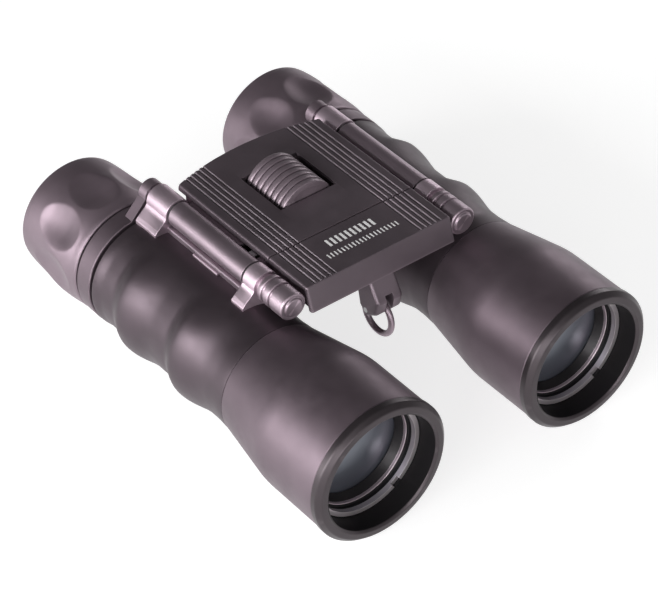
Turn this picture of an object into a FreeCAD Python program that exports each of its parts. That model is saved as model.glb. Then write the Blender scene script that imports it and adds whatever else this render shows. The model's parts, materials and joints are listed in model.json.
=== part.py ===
import FreeCAD, Part

import math
import os

# Compact double-hinge roof-prism binoculars.
# +X points to the user's left barrel, +Y from the objectives to the eyepieces, +Z up.
# The origin is under the middle of the object. "Stations" are distances along Y from the
# front rims, and every barrel piece is described by (station, radius) about its barrel axis.

Vector = FreeCAD.Vector

# ---------------------------------------------------------------- driving dimensions (mm)
LENGTH = 141.0                      # front rims to eyecup mouths
RIM_R = 21.2                        # front lip, the widest circle of a barrel
BARREL_X = 34.8                     # half the distance between the barrel axes at rest
BARREL_Z = RIM_R                    # the barrels lie on their front lips
HINGE_X = 28.7                      # the two hinge axes
HINGE_Z = BARREL_Z + 22.9
PLATE_TOP = BARREL_Z + 26.9         # top of the bridge covers

RUN = 0.05                          # radial clearance of a running or sliding fit
FOCUS_FORWARD = 0.8                 # ocular travel towards the objectives
FOCUS_BACK = 3.2                    # ocular travel away from them

# barrel shells
RECESS_R = 17.3                     # open bore in front of the objective
SEAT_R = 17.0                       # bore that the objective parts sit in
BELL_R = 20.95
WAIST_R = 17.35
TUBE_R = 15.8                       # inner chassis tube
TUBE_BORE_R = 14.4
LIP_END = 3.4
RECESS_END = 9.0
BELL_END = 46.2
ARMOUR_END = 105.3
ARMOUR_R = 16.97
# swells of the armour: station of the crest, half length, height
SWELLS = [(BELL_END, 6.0, 0.35), (67.0, 9.0, 1.93), (91.0, 9.0, 1.93), (ARMOUR_END, 4.0, 0.5)]

# objective
RETAINER_START = 6.6
NOTCH_TURN = 54.0                   # degrees from level to the retainer's driver slots, rim down
CELL_START = 8.2
GLASS_START = 12.6
CELL_END = 18.6
GLASS_R = 14.2
GLASS_CLEAR_R = 13.4

# hinge line
KNUCKLE_R = 3.75
ARM_R = 4.0
ROD_R = 2.3
FRONT_ARM = (56.9, 61.9)
KNUCKLE = (62.8, 95.4)
REAR_ARM = (96.3, 105.3)
WASHER = 0.7
CAP_START = 44.6
RAIL_STEP = (72.9, 83.8)            # stretch of the bracket's rail with a lower step beside it

# ocular
BAND = (106.6, 112.4)
EAR_R = 3.4
EAR_LENGTH = 3.2
BAND_R = 17.6
SLEEVE_R = TUBE_BORE_R - RUN
SLEEVE_BORE_R = 12.1
SLEEVE_START = 92.0
SLEEVE_END = 129.2
EYECUP_START = 113.1
MOUTH_START = 132.0
MOUTH_R = 14.6
LENS_CELL = (105.0, 131.5)
DIMPLES = 8
DIMPLE = (117.6, 131.2)
DIMPLE_R = 10.0                     # roundness of a dimple across the eyecup
DIMPLE_FLOOR = 17.3                 # distance of a dimple's deepest line from the barrel axis
DIMPLE_TURN = 8.0                   # degrees from the crown to the first dimple, outwards

# bridge
PLATE_HALF = 24.3
PLATE_T = 1.2
FRAME_HALF = 23.3
FRAME_BOTTOM = BARREL_Z + 20.7
KEEL_HALF = 6.0
KEEL_BOTTOM = BARREL_Z + 17.5
FLOOR_T = 0.9
SEAM = 61.6
PLATE_FRONT = 45.2
APRON_FOOT = 42.8                   # station of the front cover's lower edge
PLATE_REAR = 105.9
PLATE_REAR_SIDE = 101.9
GROOVES = (14.4, 16.1, 17.8, 19.5, 21.2)
GROOVE_W = 0.8
GROOVE_DEPTH = 0.45

# focusing
WHEEL_Z = BARREL_Z + 22.0
WHEEL_R = 9.0
WHEEL = (76.1, 92.9)
WHEEL_RIBS = 8
RIB_DEPTH = 1.0
WINDOW = (75.5, 93.5)
WINDOW_HALF = 9.5
SCREW_R = 2.0
JOURNAL_R = 1.5
BUSH_R = 2.7
YOKE = (66.4, 68.8)
YOKE_HALF_H = 1.9
NECK_R = 1.5

# screws: bottom of the head, tip, head radius, head thickness, shank radius
BRACKET_SCREW = (BARREL_Z + 12.9, BARREL_Z + 16.2, 1.5, 1.2, 1.0)
BRACKET_SCREW_PLACES = [(BARREL_X, station) for station in (59.0, 74.0, 88.0)]
COVER_SCREW = (FRAME_BOTTOM - FLOOR_T, FRAME_BOTTOM + 3.6, 1.9, FLOOR_T, 0.9)
COVER_SCREW_PLACES = [(x, station) for x in (-17.0, 17.0) for station in (52.0, 80.0, 97.0)]

# strap
CHEEK = (1.2, 4.4)                  # inner and outer face of each cheek of the lug
CHEEK_ROUND = 1.0
PIN_STATION = 45.6
PIN_Z = BARREL_Z + 8.9
PIN_R = 0.8
LUG_ROOT = BARREL_Z + 14.8          # underside of the solid part between the cheeks
TONGUE = (47.2, 50.0)
LOOP_R = 5.6
WIRE_R = 0.9


# ---------------------------------------------------------------- outline and solid helpers
def along(station):
    """Y of a station."""
    return station - LENGTH / 2


def corner_arc(before, corner, after, radius):
    """Entry point, middle and exit point of the arc that rounds one corner."""
    to_before = (before - corner).normalize()
    to_after = (after - corner).normalize()
    half_angle = to_before.getAngle(to_after) / 2
    reach = radius / math.tan(half_angle)
    bisector = (to_before + to_after).normalize()
    centre = corner + bisector * (radius / math.sin(half_angle))
    return corner + to_before * reach, centre - bisector * radius, corner + to_after * reach


def closed_face(corners, place):
    """Flat face whose corners are (u, v) or (u, v, rounding radius)."""
    flat = [Vector(c[0], c[1], 0) for c in corners]
    count = len(flat)
    bends = []
    for i, corner in enumerate(corners):
        if len(corner) == 3:
            bends.append(corner_arc(flat[i - 1], flat[i], flat[(i + 1) % count], corner[2]))
        else:
            bends.append((flat[i], None, flat[i]))
    edges = []
    for i, (entry, middle, leave) in enumerate(bends):
        if middle is not None:
            edges.append(Part.Arc(place(entry), place(middle), place(leave)).toShape())
        following = bends[(i + 1) % count][0]
        if (following - leave).Length > 1e-6:
            edges.append(Part.makeLine(place(leave), place(following)))
    return Part.Face(Part.Wire(edges))


def axis_place(x, z):
    """Puts (station, radius) beside an axis that is parallel to Y."""
    return lambda p: Vector(x + p.y, along(p.x), z)


def turned(corners, x=BARREL_X, z=BARREL_Z):
    """Solid of revolution about an axis parallel to Y."""
    face = closed_face(corners, axis_place(x, z))
    return face.revolve(Vector(x, 0, z), Vector(0, 1, 0), 360)


def ring(start, end, inner, outer, x=BARREL_X, z=BARREL_Z):
    """Plain ring between two stations, or a disc when the inner radius is 0."""
    return turned([(start, inner), (start, outer), (end, outer), (end, inner)], x, z)


def block(x_span, station_span, z_span):
    """Box from its lowest to its highest value on each axis."""
    size = Vector(x_span[1] - x_span[0], station_span[1] - station_span[0], z_span[1] - z_span[0])
    corner = Vector(x_span[0], along(station_span[0]), z_span[0])
    return Part.makeBox(size.x, size.y, size.z, corner)


def slab(corners, start, end):
    """Outline in (x, z), carried from one station to another."""
    face = closed_face(corners, lambda p: Vector(p.x, along(start), p.y))
    return face.extrude(Vector(0, end - start, 0))


def side_slab(corners, low_x, high_x):
    """Outline in (station, z), carried across X."""
    face = closed_face(corners, lambda p: Vector(low_x, along(p.x), p.y))
    return face.extrude(Vector(high_x - low_x, 0, 0))


def screw_blank(place, sizes):
    """Upright screw with its head below and no slot yet; it also cuts the screw's hole."""
    x, station = place
    head_z, tip_z, head_r, head_t, shank_r = sizes
    y = along(station)
    head = Part.makeCylinder(head_r, head_t, Vector(x, y, head_z))
    shank = Part.makeCylinder(shank_r, tip_z - head_z - head_t, Vector(x, y, head_z + head_t))
    return head.fuse(shank)


def screw(place, sizes):
    """The screw with a driver slot across its head."""
    head_r = sizes[2]
    slot = Part.makeBox(2 * head_r, 0.4, 0.4,
                        Vector(place[0] - head_r, along(place[1]) - 0.2, sizes[0] - 0.05))
    return screw_blank(place, sizes).cut(slot)


def drilled(body, places, sizes):
    """The body with a hole for each screw."""
    for place in places:
        body = body.cut(screw_blank(place, sizes))
    return body


def mirrored(shape):
    """The same piece on the user's right side."""
    return shape.mirror(Vector(0, 0, 0), Vector(1, 0, 0))


# ---------------------------------------------------------------- barrel pieces, user's left
def rim_ring():
    """Front lip with the wall of the recess behind it."""
    return turned([
        (0.0, 17.9, 0.25), (0.0, RIM_R, 1.2), (LIP_END, RIM_R, 0.2), (LIP_END, 19.6),
        (RECESS_END, 19.6), (RECESS_END, SEAT_R), (RETAINER_START, SEAT_R),
        (RETAINER_START, RECESS_R), (0.6, RECESS_R, 0.2)])


def objective_bell():
    """Wide front housing that tapers to the waist."""
    return turned([
        (LIP_END, 19.6), (LIP_END, BELL_R, 0.3), (25.9, BELL_R, 30.0), (BELL_END, WAIST_R, 0.25),
        (BELL_END, TUBE_R), (38.0, TUBE_R), (30.0, SEAT_R), (RECESS_END, SEAT_R),
        (RECESS_END, 19.6)])


def objective_retainer():
    """Threaded ring with two driver slots that holds the objective cell."""
    body = ring(RETAINER_START, CELL_START, 15.7, SEAT_R)
    for turn in (0, 180):
        notch = block((BARREL_X + 15.0, BARREL_X + 18.0), (RETAINER_START - 1, CELL_START - 0.7),
                      (BARREL_Z - 1.3, BARREL_Z + 1.3))
        notch.rotate(Vector(BARREL_X, 0, BARREL_Z), Vector(0, 1, 0), NOTCH_TURN + turn)
        body = body.cut(notch)
    return body


def objective_cell():
    """Stepped ring that the objective glass is seated in."""
    return turned([
        (CELL_START, SEAT_R), (CELL_START, 16.0), (9.4, 16.0), (9.4, 15.0, 0.2),
        (10.2, 15.0, 0.3), (GLASS_START, GLASS_CLEAR_R), (GLASS_START, GLASS_R),
        (CELL_END, GLASS_R), (CELL_END, SEAT_R)])


def lens(radius, front, rear, front_bulge, rear_bulge):
    """Lens on the barrel axis; a bulge is how far the middle stands out of its rim plane."""
    place = axis_place(BARREL_X, BARREL_Z)

    def surface(rim, bulge):
        middle = Vector(rim + 0.75 * bulge, radius / 2, 0)
        return Part.Arc(place(Vector(rim + bulge, 0, 0)), place(middle),
                        place(Vector(rim, radius, 0))).toShape()

    front_edge = surface(front, -front_bulge)
    rear_edge = surface(rear, rear_bulge)
    rim_edge = Part.makeLine(place(Vector(front, radius, 0)), place(Vector(rear, radius, 0)))
    axis_edge = Part.makeLine(place(Vector(front - front_bulge, 0, 0)),
                              place(Vector(rear + rear_bulge, 0, 0)))
    face = Part.Face(Part.Wire(Part.__sortEdges__([front_edge, rim_edge, rear_edge, axis_edge])))
    return face.revolve(Vector(BARREL_X, 0, BARREL_Z), Vector(0, 1, 0), 360)


def armour_radius(station):
    """Outer radius of the rubber armour: two round swells for the fingers and a lip at each end."""
    radius = ARMOUR_R
    for crest, half_length, height in SWELLS:
        away = min(abs(station - crest) / half_length, 1.0)
        radius += height * (1 + math.cos(math.pi * away)) / 2
    return radius


def armour_sleeve():
    """Rubber sleeve over the chassis tube, cut out for the hinge bracket."""
    place = axis_place(BARREL_X, BARREL_Z)
    steps = 42
    stations = [BELL_END + (ARMOUR_END - BELL_END) * i / steps for i in range(steps + 1)]
    outline = [place(Vector(s, armour_radius(s), 0)) for s in stations]
    wave = Part.BSplineCurve()
    wave.interpolate(outline)
    front = place(Vector(BELL_END, TUBE_R, 0))
    rear = place(Vector(ARMOUR_END, TUBE_R, 0))
    edges = [Part.makeLine(front, outline[0]), wave.toShape(), Part.makeLine(outline[-1], rear),
             Part.makeLine(rear, front)]
    sleeve = Part.Face(Part.Wire(edges)).revolve(
        Vector(BARREL_X, 0, BARREL_Z), Vector(0, 1, 0), 360)
    return sleeve.cut(bracket_body())


def bracket_screw_set():
    """Three screws driven from inside the chassis tube up into the bracket."""
    return [screw(place, BRACKET_SCREW) for place in BRACKET_SCREW_PLACES]


def barrel_tube():
    """Chassis tube that carries prisms, bracket, armour and ocular."""
    tube = ring(38.0, ARMOUR_END - 0.6, TUBE_BORE_R, TUBE_R)
    return drilled(tube, BRACKET_SCREW_PLACES, BRACKET_SCREW)


def bracket_body():
    """Cast saddle on top of the chassis tube with an arm at each end of the hinge."""
    crown = BARREL_Z
    arm = [
        (HINGE_X - 1.8, HINGE_Z - 3.2, 1.0), (HINGE_X + 2.3, HINGE_Z + 3.3, 0.8),
        (HINGE_X + 4.4, HINGE_Z - 1.2, 3.0), (35.6, crown + 19.6, 2.0), (36.5, crown + 18.6, 0.3),
        (36.3, crown + 14.0), (HINGE_X + 0.6, crown + 14.0), (HINGE_X - 1.2, crown + 18.2, 1.5)]
    body = None
    for start, end in (FRONT_ARM, REAR_ARM):
        knuckle = ring(start, end, 0.0, ARM_R, HINGE_X, HINGE_Z)
        limb = knuckle.fuse(slab(arm, start, end))
        body = limb if body is None else body.fuse(limb)
    rail = [(29.6, crown + 14.0), (29.6, crown + 19.6), (32.2, crown + 19.4, 0.5),
            (32.2, crown + 16.6), (36.3, crown + 16.6), (36.3, crown + 14.0)]
    body = body.fuse(slab(rail, FRONT_ARM[1] - 1, REAR_ARM[0] + 1))
    step = [(31.5, crown + 16.0), (31.5, crown + 18.6), (33.1, crown + 18.6, 0.4),
            (33.1, crown + 16.0)]
    body = body.fuse(slab(step, *RAIL_STEP))
    body = body.cut(ring(FRONT_ARM[1], REAR_ARM[0], 0.0, KNUCKLE_R + 0.35, HINGE_X, HINGE_Z))
    body = body.cut(ring(FRONT_ARM[0] - 1, REAR_ARM[1] + 1, 0.0, TUBE_R))
    return body.removeSplitter()


def hinge_bracket():
    """The saddle, bored for the hinge rod and tapped for its screws."""
    body = bracket_body().cut(
        ring(FRONT_ARM[0] - 1, REAR_ARM[1] + 1, 0.0, ROD_R + RUN, HINGE_X, HINGE_Z))
    return drilled(body, BRACKET_SCREW_PLACES, BRACKET_SCREW)


def hinge_cap():
    """Grooved nut on the front arm that closes the hinge and sets its stiffness."""
    neck, crest, groove = 3.2, 4.1, 3.5
    return turned([
        (CAP_START, 0.0), (CAP_START, crest, 0.7), (50.4, crest, 0.25), (50.4, groove),
        (51.0, groove), (51.0, crest, 0.25), (53.2, crest, 0.25), (53.2, groove), (54.0, groove),
        (54.0, crest, 0.25), (55.5, crest, 0.25), (55.5, neck), (FRONT_ARM[0], neck),
        (FRONT_ARM[0], ROD_R + RUN), (47.0, ROD_R + RUN), (47.0, 0.0)], HINGE_X, HINGE_Z)


def prism_housing():
    """Cage that keeps the two roof prisms in line, flanged to fit the chassis tube."""
    cage = turned([(60.5, 0.0), (60.5, TUBE_BORE_R), (62.0, TUBE_BORE_R), (62.0, 12.4),
                   (84.5, 12.4), (84.5, TUBE_BORE_R), (86.0, TUBE_BORE_R), (86.0, 0.0)])
    cavity = block((BARREL_X - 7.6, BARREL_X + 7.6), (63.0, 83.5), (BARREL_Z - 8.4, BARREL_Z + 8.4))
    return cage.cut(cavity).cut(ring(60.0, 87.0, 0.0, 6.5))


def half_penta_prism():
    """Front prism of the roof pair."""
    z = BARREL_Z
    return side_slab([(63.2, z - 8.2), (63.2, z + 8.2), (69.6, z + 8.2), (77.6, z - 1.8),
                      (72.4, z - 8.2)], BARREL_X - 7.4, BARREL_X + 7.4)


def roof_prism():
    """Rear prism of the pair, with its roof edge on top."""
    z = BARREL_Z
    body = side_slab([(70.6, z + 8.2), (83.3, z + 8.2), (83.3, z - 7.6), (78.4, z - 1.5)],
                     BARREL_X - 7.4, BARREL_X + 7.4)
    for tilt in (-1, 1):
        off_cut = block((BARREL_X, BARREL_X + 20), (60.0, 90.0), (z + 8.2, z + 28.2))
        off_cut.rotate(Vector(BARREL_X, 0, z + 8.2), Vector(0, 1, 0), 20)
        if tilt < 0:
            off_cut = off_cut.mirror(Vector(BARREL_X, 0, 0), Vector(1, 0, 0))
        body = body.cut(off_cut)
    return body


def light_baffle():
    """Conical stop that keeps stray light off the prisms."""
    return turned([(52.0, 10.2), (52.0, 11.0), (56.0, TUBE_BORE_R), (57.2, TUBE_BORE_R),
                   (57.2, 13.4), (53.0, 10.2)])


# ---------------------------------------------------------------- ocular pieces, user's left
def hinge_rod():
    """Rod that is both hinge pin and focusing slide; the yoke holds it by its neck."""
    return turned([
        (50.0, 0.0), (50.0, ROD_R, 0.4), (YOKE[0] - 0.1, ROD_R), (YOKE[0] - 0.1, NECK_R),
        (YOKE[1] + 0.1, NECK_R), (YOKE[1] + 0.1, ROD_R), (BAND[0] + EAR_LENGTH, ROD_R),
        (BAND[0] + EAR_LENGTH, 0.0)], HINGE_X, HINGE_Z)


def ocular_carrier():
    """Band with the sliding sleeve, joined to the hinge rod by an ear."""
    body = turned([
        (BAND[0], SLEEVE_R), (BAND[0], BAND_R, 0.35), (BAND[1], BAND_R, 0.35), (BAND[1], SLEEVE_R),
        (SLEEVE_END, SLEEVE_R), (SLEEVE_END, SLEEVE_BORE_R), (SLEEVE_START, SLEEVE_BORE_R),
        (SLEEVE_START, SLEEVE_R)])
    ear_end = BAND[0] + EAR_LENGTH
    ear = ring(BAND[0], ear_end, 0.0, EAR_R, HINGE_X, HINGE_Z)
    web = slab([(HINGE_X - 2.6, HINGE_Z - 1.5, 0.8), (HINGE_X + 3.2, HINGE_Z, 0.8),
                (37.2, BARREL_Z + 17.2), (35.0, BARREL_Z + 15.5), (29.0, BARREL_Z + 15.5)],
               BAND[0], ear_end)
    body = body.fuse(ear).fuse(web)
    return body.cut(ring(BAND[0] - 1, ear_end + 1, 0.0, ROD_R, HINGE_X, HINGE_Z))


def eyecup():
    """Soft eyecup with finger dimples around it."""
    place = axis_place(BARREL_X, BARREL_Z)
    crown = [(EYECUP_START, 17.6), (115.0, 17.75), (118.0, 18.15), (121.0, 18.5), (124.0, 18.6),
             (127.0, 18.4), (130.0, 18.0), (133.0, 17.8), (136.0, 17.65), (138.6, 17.4),
             (140.2, 16.8), (LENGTH, 15.8)]
    outer = Part.BSplineCurve()
    outer.interpolate([place(Vector(s, r, 0)) for s, r in crown])
    inner = [crown[-1], (LENGTH, MOUTH_R), (MOUTH_START, 13.2), (SLEEVE_END + 0.6, 13.2),
             (SLEEVE_END + 0.6, SLEEVE_R + RUN), (EYECUP_START, SLEEVE_R + RUN), crown[0]]
    walk = [place(Vector(s, r, 0)) for s, r in inner]
    edges = [outer.toShape()] + [Part.makeLine(a, b) for a, b in zip(walk, walk[1:])]
    body = Part.Face(Part.Wire(edges)).revolve(
        Vector(BARREL_X, 0, BARREL_Z), Vector(0, 1, 0), 360)
    front, rear = DIMPLE
    axis_z = BARREL_Z + DIMPLE_FLOOR + DIMPLE_R
    press = turned([(front, 0.0), (front, DIMPLE_R - 1.1), (front + 1.8, DIMPLE_R, 1.2),
                    (front + 6.9, DIMPLE_R, 10.0), (rear, DIMPLE_R - 0.7), (rear, 0.0)],
                   BARREL_X, axis_z)
    for i in range(DIMPLES):
        cutter = press.copy()
        cutter.rotate(Vector(BARREL_X, 0, BARREL_Z), Vector(0, 1, 0), DIMPLE_TURN + 360 * i / DIMPLES)
        body = body.cut(cutter)
    return body


def lens_cell():
    """Tube that holds the eyepiece glasses, with a face plate around the eye lens."""
    start, end = LENS_CELL
    return turned([
        (start, 10.2), (start, SLEEVE_BORE_R - RUN), (end - 1.5, SLEEVE_BORE_R - RUN),
        (end - 1.5, 13.1), (end, 13.1, 0.3), (end, 9.4), (end - 1.2, 9.4), (end - 1.2, 8.4),
        (end - 5.5, 8.4), (end - 5.5, 7.2), (start + 9.0, 7.2), (start + 9.0, 9.4),
        (start + 4.0, 9.4), (start + 4.0, 10.2)])


def ocular_retainer():
    """Ring that keeps the eye lens in its cell."""
    end = LENS_CELL[1]
    return turned([(end - 1.2, 7.4), (end - 1.2, 9.4), (end - 0.2, 9.4), (end - 0.2, 8.3)])


# ---------------------------------------------------------------- bridge
def bridge_frame():
    """Chassis between the hinges: two long knuckles, wheel well, yoke chamber and bearings."""
    body = block((-FRAME_HALF, FRAME_HALF), (PLATE_FRONT + 1.6, 100.0),
                 (FRAME_BOTTOM, PLATE_TOP - PLATE_T))
    body = body.fuse(block((-KEEL_HALF, KEEL_HALF), (60.0, 99.0), (KEEL_BOTTOM, HINGE_Z)))
    for side in (-1, 1):
        knuckle = ring(KNUCKLE[0], KNUCKLE[1], 0.0, KNUCKLE_R, side * HINGE_X, HINGE_Z)
        web = slab([(side * (FRAME_HALF - 1), HINGE_Z - 2.0), (side * (FRAME_HALF - 1), HINGE_Z + 2.0),
                    (side * HINGE_X, HINGE_Z + 2.0), (side * HINGE_X, HINGE_Z - 2.0)], *KNUCKLE)
        body = body.fuse(knuckle).fuse(web)
    body = body.cut(block((-WINDOW_HALF - 0.3, WINDOW_HALF + 0.3), (WINDOW[0], WINDOW[1]),
                          (KEEL_BOTTOM - 1, PLATE_TOP)))
    chamber = (YOKE[0] - FOCUS_FORWARD - 0.4, YOKE[1] + FOCUS_BACK + 0.6)
    body = body.cut(block((-HINGE_X, HINGE_X), chamber,
                          (HINGE_Z - YOKE_HALF_H - 0.15, HINGE_Z + YOKE_HALF_H + 0.15)))
    body = body.cut(block((-5.0, 5.0), chamber, (KEEL_BOTTOM + 0.6, PLATE_TOP)))
    body = body.cut(ring(62.0, 97.0, 0.0, BUSH_R, 0.0, WHEEL_Z))
    for side in (-1, 1):
        body = body.cut(ring(KNUCKLE[0] - 1, KNUCKLE[1] + 1, 0.0, ROD_R + RUN,
                             side * HINGE_X, HINGE_Z))
    return drilled(body, COVER_SCREW_PLACES, COVER_SCREW).removeSplitter()


def cover_section(corner_r):
    """Cross-section of a top cover: a flat plate with short side lips."""
    inner = PLATE_HALF - 0.9
    lip = PLATE_TOP - 1.9
    under = PLATE_TOP - PLATE_T
    return [(-PLATE_HALF, lip), (-PLATE_HALF, PLATE_TOP, corner_r), (PLATE_HALF, PLATE_TOP, corner_r),
            (PLATE_HALF, lip), (inner, lip), (inner, under), (-inner, under), (-inner, lip)]


def cut_grooves(cover, start, end):
    """Ten long grooves, five beside each edge of a cover."""
    for x in GROOVES:
        for side in (-1, 1):
            middle = side * x
            cover = cover.cut(block((middle - GROOVE_W / 2, middle + GROOVE_W / 2), (start, end),
                                    (PLATE_TOP - GROOVE_DEPTH, PLATE_TOP + 1)))
    return cover


def rear_top_cover():
    """Main cover with the wheel window and a bowed rear edge."""
    plate = slab(cover_section(0.7), SEAM + 0.1, PLATE_REAR)
    bow = PLATE_REAR - PLATE_REAR_SIDE
    radius = (PLATE_HALF ** 2 + bow ** 2) / (2 * bow)
    disc = Part.makeCylinder(radius, 20, Vector(0, along(PLATE_REAR - radius), PLATE_TOP - 15))
    plate = plate.common(disc)
    plate = plate.cut(block((-WINDOW_HALF, WINDOW_HALF), WINDOW, (PLATE_TOP - 5, PLATE_TOP + 1)))
    return cut_grooves(plate, SEAM - 1, PLATE_REAR + 1)


def front_top_cover():
    """Front cover that slopes down ahead of its crease."""
    z = PLATE_TOP
    plate = slab(cover_section(0.7), PLATE_FRONT, SEAM - 0.1)
    apron = side_slab([(PLATE_FRONT, z), (APRON_FOOT, FRAME_BOTTOM - FLOOR_T, 0.6),
                       (APRON_FOOT + 1.3, FRAME_BOTTOM - FLOOR_T), (PLATE_FRONT + 1.2, z - PLATE_T),
                       (PLATE_FRONT + 1.2, z)], -PLATE_HALF, PLATE_HALF)
    return cut_grooves(plate.fuse(apron), PLATE_FRONT, SEAM + 1).removeSplitter()


def bottom_cover():
    """Floor under the frame with a rounded belly around the wheel."""
    keel = KEEL_HALF + 1.0
    body = block((-FRAME_HALF, FRAME_HALF), (APRON_FOOT + 1.9, 100.0),
                 (FRAME_BOTTOM - FLOOR_T, FRAME_BOTTOM))
    body = body.fuse(block((-keel, keel), (59.0, 100.0), (KEEL_BOTTOM - 1.0, FRAME_BOTTOM)))
    belly = (WINDOW[0] - 1.0, WINDOW[1] + 1.0)
    body = body.fuse(ring(belly[0], belly[1], 0.0, WHEEL_R + 1.6, 0.0, WHEEL_Z))
    body = body.cut(ring(WINDOW[0], WINDOW[1], 0.0, WHEEL_R + 0.7, 0.0, WHEEL_Z))
    body = body.cut(block((-KEEL_HALF, KEEL_HALF), (60.0, 99.0), (KEEL_BOTTOM, PLATE_TOP)))
    body = body.cut(block((-30, 30), (30, 110), (FRAME_BOTTOM, PLATE_TOP + 20)))
    body = body.cut(block((-4.5, 4.5), (WINDOW[0] + 1.5, WINDOW[1] - 1.5), (0, WHEEL_Z)))
    body = body.cut(block((-CHEEK[1], CHEEK[1]), TONGUE, (0, PLATE_TOP)))
    return drilled(body, COVER_SCREW_PLACES, COVER_SCREW).removeSplitter()


def cover_screw_set():
    """Screws that hold the floor and the covers to the frame."""
    return [screw(place, COVER_SCREW) for place in COVER_SCREW_PLACES]


def focus_wheel():
    """Ribbed focusing wheel; the first and last ribs are a little wider."""
    start, end = WHEEL
    end_rib = 2.5
    pitch = (end - start - 2 * end_rib) / (WHEEL_RIBS - 2)
    gap = 0.55
    root = WHEEL_R - RIB_DEPTH
    corners = [(start, 3.0), (start, root), (start + 0.5, WHEEL_R, 0.35)]
    for i in range(WHEEL_RIBS - 1):
        valley = start + end_rib + pitch * i
        corners += [(valley - gap / 2, WHEEL_R, 0.35), (valley - gap / 4, root),
                    (valley + gap / 4, root), (valley + gap / 2, WHEEL_R, 0.35)]
    corners += [(end - 0.5, WHEEL_R, 0.35), (end, root), (end, 3.0), (end - 1.2, 3.0),
                (end - 1.2, SCREW_R), (start + 1.2, SCREW_R), (start + 1.2, 3.0)]
    return turned(corners, 0.0, WHEEL_Z)


def focus_screw():
    """Coarse screw through the wheel, running in two bushes."""
    front_bush, rear_bush = bush_spans()
    return turned([
        (62.6, 0.0), (62.6, SCREW_R, 0.4), (front_bush[0] - 0.2, SCREW_R),
        (front_bush[0] - 0.2, JOURNAL_R), (front_bush[1] + 0.2, JOURNAL_R),
        (front_bush[1] + 0.2, SCREW_R), (rear_bush[0] - 0.2, SCREW_R),
        (rear_bush[0] - 0.2, JOURNAL_R), (rear_bush[1], JOURNAL_R, 0.3), (rear_bush[1], 0.0)],
        0.0, WHEEL_Z)


def bush_spans():
    """Stations of the two bearing bushes beside the wheel well."""
    return (WINDOW[0] - 2.4, WINDOW[0]), (WINDOW[1], WINDOW[1] + 2.6)


def wheel_bushes():
    """The two bushes of the focusing screw."""
    return [ring(start, end, JOURNAL_R + RUN, BUSH_R, 0.0, WHEEL_Z) for start, end in bush_spans()]


def focus_yoke():
    """Crossbar with a nut in the middle and a fork around each rod's neck."""
    low, high = HINGE_Z - YOKE_HALF_H, HINGE_Z + YOKE_HALF_H
    reach = HINGE_X + 0.8
    body = block((-reach, reach), YOKE, (low, high))
    body = body.fuse(ring(YOKE[0], YOKE[1], 0.0, 3.7, 0.0, WHEEL_Z))
    for side in (-1, 1):
        hub = side * HINGE_X
        body = body.cut(ring(YOKE[0] - 1, YOKE[1] + 1, 0.0, NECK_R + RUN, hub, HINGE_Z))
        body = body.cut(block((min(hub, hub + 3 * side), max(hub, hub + 3 * side)),
                              (YOKE[0] - 1, YOKE[1] + 1),
                              (HINGE_Z - NECK_R - RUN, HINGE_Z + NECK_R + RUN)))
    return body.cut(ring(YOKE[0] - 1, YOKE[1] + 1, 0.0, SCREW_R + RUN, 0.0, WHEEL_Z))


def hinge_washers():
    """Friction washers at both ends of both knuckles."""
    spans = ((KNUCKLE[0] - WASHER, KNUCKLE[0]), (KNUCKLE[1], KNUCKLE[1] + WASHER))
    return [ring(start, end, ROD_R + RUN, KNUCKLE_R - 0.45, side * HINGE_X, HINGE_Z)
            for side in (-1, 1) for start, end in spans]


def on_cheek_outline(edge, floor):
    """True for the outer edges of the cheeks, apart from the one against the floor."""
    box = edge.BoundBox
    return box.XLength < 1e-6 and box.ZMin < floor - 1e-3


def strap_lug():
    """Forked eye under the front of the bridge; its tongue goes through the floor."""
    floor = FRAME_BOTTOM - FLOOR_T
    side = [(44.4, floor), (40.4, PIN_Z + 4.6, 1.5), (41.2, PIN_Z + 0.4, 2.0),
            (PIN_STATION, PIN_Z - 2.2, 2.0), (48.4, PIN_Z + 0.4, 1.5), (50.6, floor)]
    body = side_slab(side, -CHEEK[1], CHEEK[1])
    body = body.makeFillet(CHEEK_ROUND, [edge for edge in body.Edges if on_cheek_outline(edge, floor)])
    body = body.cut(block((-CHEEK[0], CHEEK[0]), (38.0, 53.0), (0, LUG_ROOT)))
    body = body.fuse(block((-CHEEK[1], CHEEK[1]), TONGUE, (floor, FRAME_BOTTOM)))
    return body.cut(strap_pin())


def strap_pin():
    """Pin across the fork."""
    return Part.makeCylinder(PIN_R, 2 * CHEEK[1], Vector(-CHEEK[1], along(PIN_STATION), PIN_Z),
                             Vector(1, 0, 0))


def strap_ring():
    """Wire ring that hangs on the pin and takes a neck strap."""
    drop = LOOP_R - WIRE_R - PIN_R - 0.15
    centre = Vector(0, along(PIN_STATION), PIN_Z - drop)
    return Part.makeTorus(LOOP_R, WIRE_R, centre, Vector(1, 0, 0))


# ---------------------------------------------------------------- writing
def write(node, shape):
    """One STEP file per named sub-part; a list becomes a group of separate solids."""
    if isinstance(shape, list):
        shape = Part.makeCompound(shape)
    solids = shape.Solids
    if len(solids) == 1:
        shape = solids[0]
    shape.exportStep(os.path.join("parts", node + ".step"))
    print(f"{node:26s} solids {len(solids)}  volume {shape.Volume:9.1f} mm3  valid {shape.isValid()}")


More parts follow.
